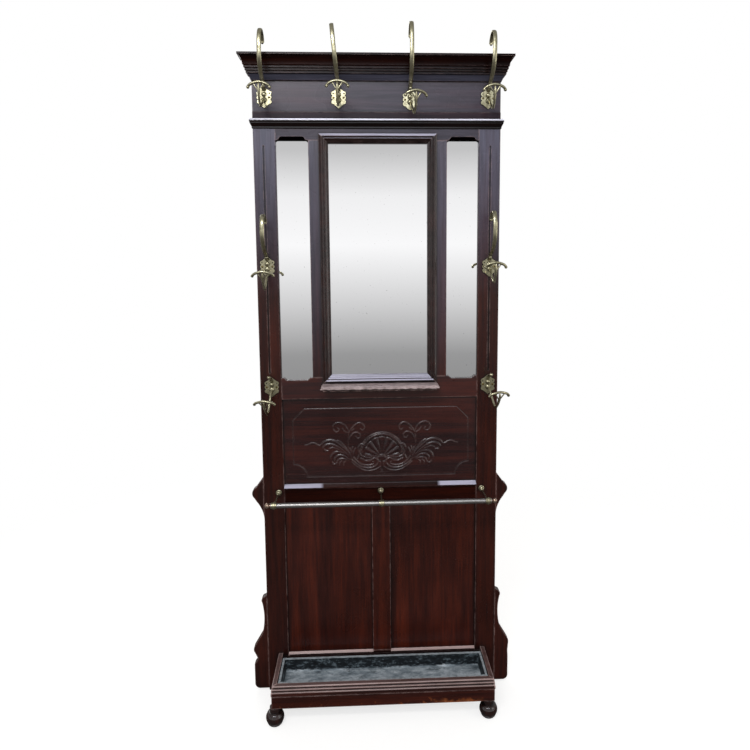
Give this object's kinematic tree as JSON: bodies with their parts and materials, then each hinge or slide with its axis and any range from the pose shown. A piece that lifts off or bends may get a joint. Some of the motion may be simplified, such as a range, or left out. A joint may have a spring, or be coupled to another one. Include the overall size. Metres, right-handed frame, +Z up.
{
  "type": "hall tree with hooks",
  "caption": "Tall mirrored hall stand with brass coat hooks, a carved panel, an umbrella rail and a lift-out drip tray.",
  "frame": {"origin": "middle of the footprint, at floor level", "axes": "+Z up, +X to the right seen from the front, -Y towards the user"},
  "size_m": [0.8568, 0.2061, 2.1289],
  "materials": {
    "mahogany": "dark french polish",
    "backing_pine": "aged, unpolished",
    "mirror_glass": "silvered plate glass",
    "aged_brass": "aged and rubbed",
    "tray_zinc": "dark oxidised sheet metal"
  },
  "bodies": {
    "stand": {"left_stile": "mahogany", "right_stile": "mahogany", "mirror_top_rail": "mahogany", "mirror_bottom_rail": "mahogany", "left_mirror_muntin": "mahogany", "right_mirror_muntin": "mahogany", "lower_rail": "mahogany", "lower_muntin": "mahogany", "bottom_rail": "mahogany", "carved_panel": "mahogany", "left_lower_panel": "mahogany", "right_lower_panel": "mahogany", "frieze_bottom_rail": "mahogany", "frieze_panel": "mahogany", "frieze_top_rail": "mahogany", "cornice_top_board": "mahogany", "cornice_front": "mahogany", "cornice_left_return": "mahogany", "cornice_right_return": "mahogany", "neck_moulding": "mahogany", "base_moulding": "mahogany", "mirror_moulding": "mahogany", "sill_moulding": "mahogany", "shelf_board": "mahogany", "left_ear": "mahogany", "right_ear": "mahogany", "left_wing": "mahogany", "right_wing": "mahogany", "base_front": "mahogany", "base_left_side": "mahogany", "base_right_side": "mahogany", "left_foot": "mahogany", "right_foot": "mahogany", "left_backboard": "backing_pine", "right_backboard": "backing_pine", "centre_backboard": "backing_pine", "base_back": "backing_pine", "base_floor": "backing_pine", "base_corner_blocks": "backing_pine", "left_mirror": "mirror_glass", "right_mirror": "mirror_glass", "centre_mirror": "mirror_glass", "umbrella_tube": "aged_brass", "left_bracket": "aged_brass", "centre_bracket": "aged_brass", "right_bracket": "aged_brass", "left_finial": "aged_brass", "right_finial": "aged_brass", "frieze_hook_1": "aged_brass", "frieze_hook_2": "aged_brass", "frieze_hook_3": "aged_brass", "frieze_hook_4": "aged_brass", "left_upper_hook": "aged_brass", "right_upper_hook": "aged_brass", "left_lower_hook": "aged_brass", "right_lower_hook": "aged_brass", "hook_screws": "aged_brass"},
    "drip_tray": {"drip_tray": "tray_zinc"}
  },
  "joints": [
    {"name": "drip_tray_lift", "type": "slide", "parent": "stand", "child": "drip_tray", "axis": [0, 0, 1], "range_m": [0, 0.12]}
  ]
}
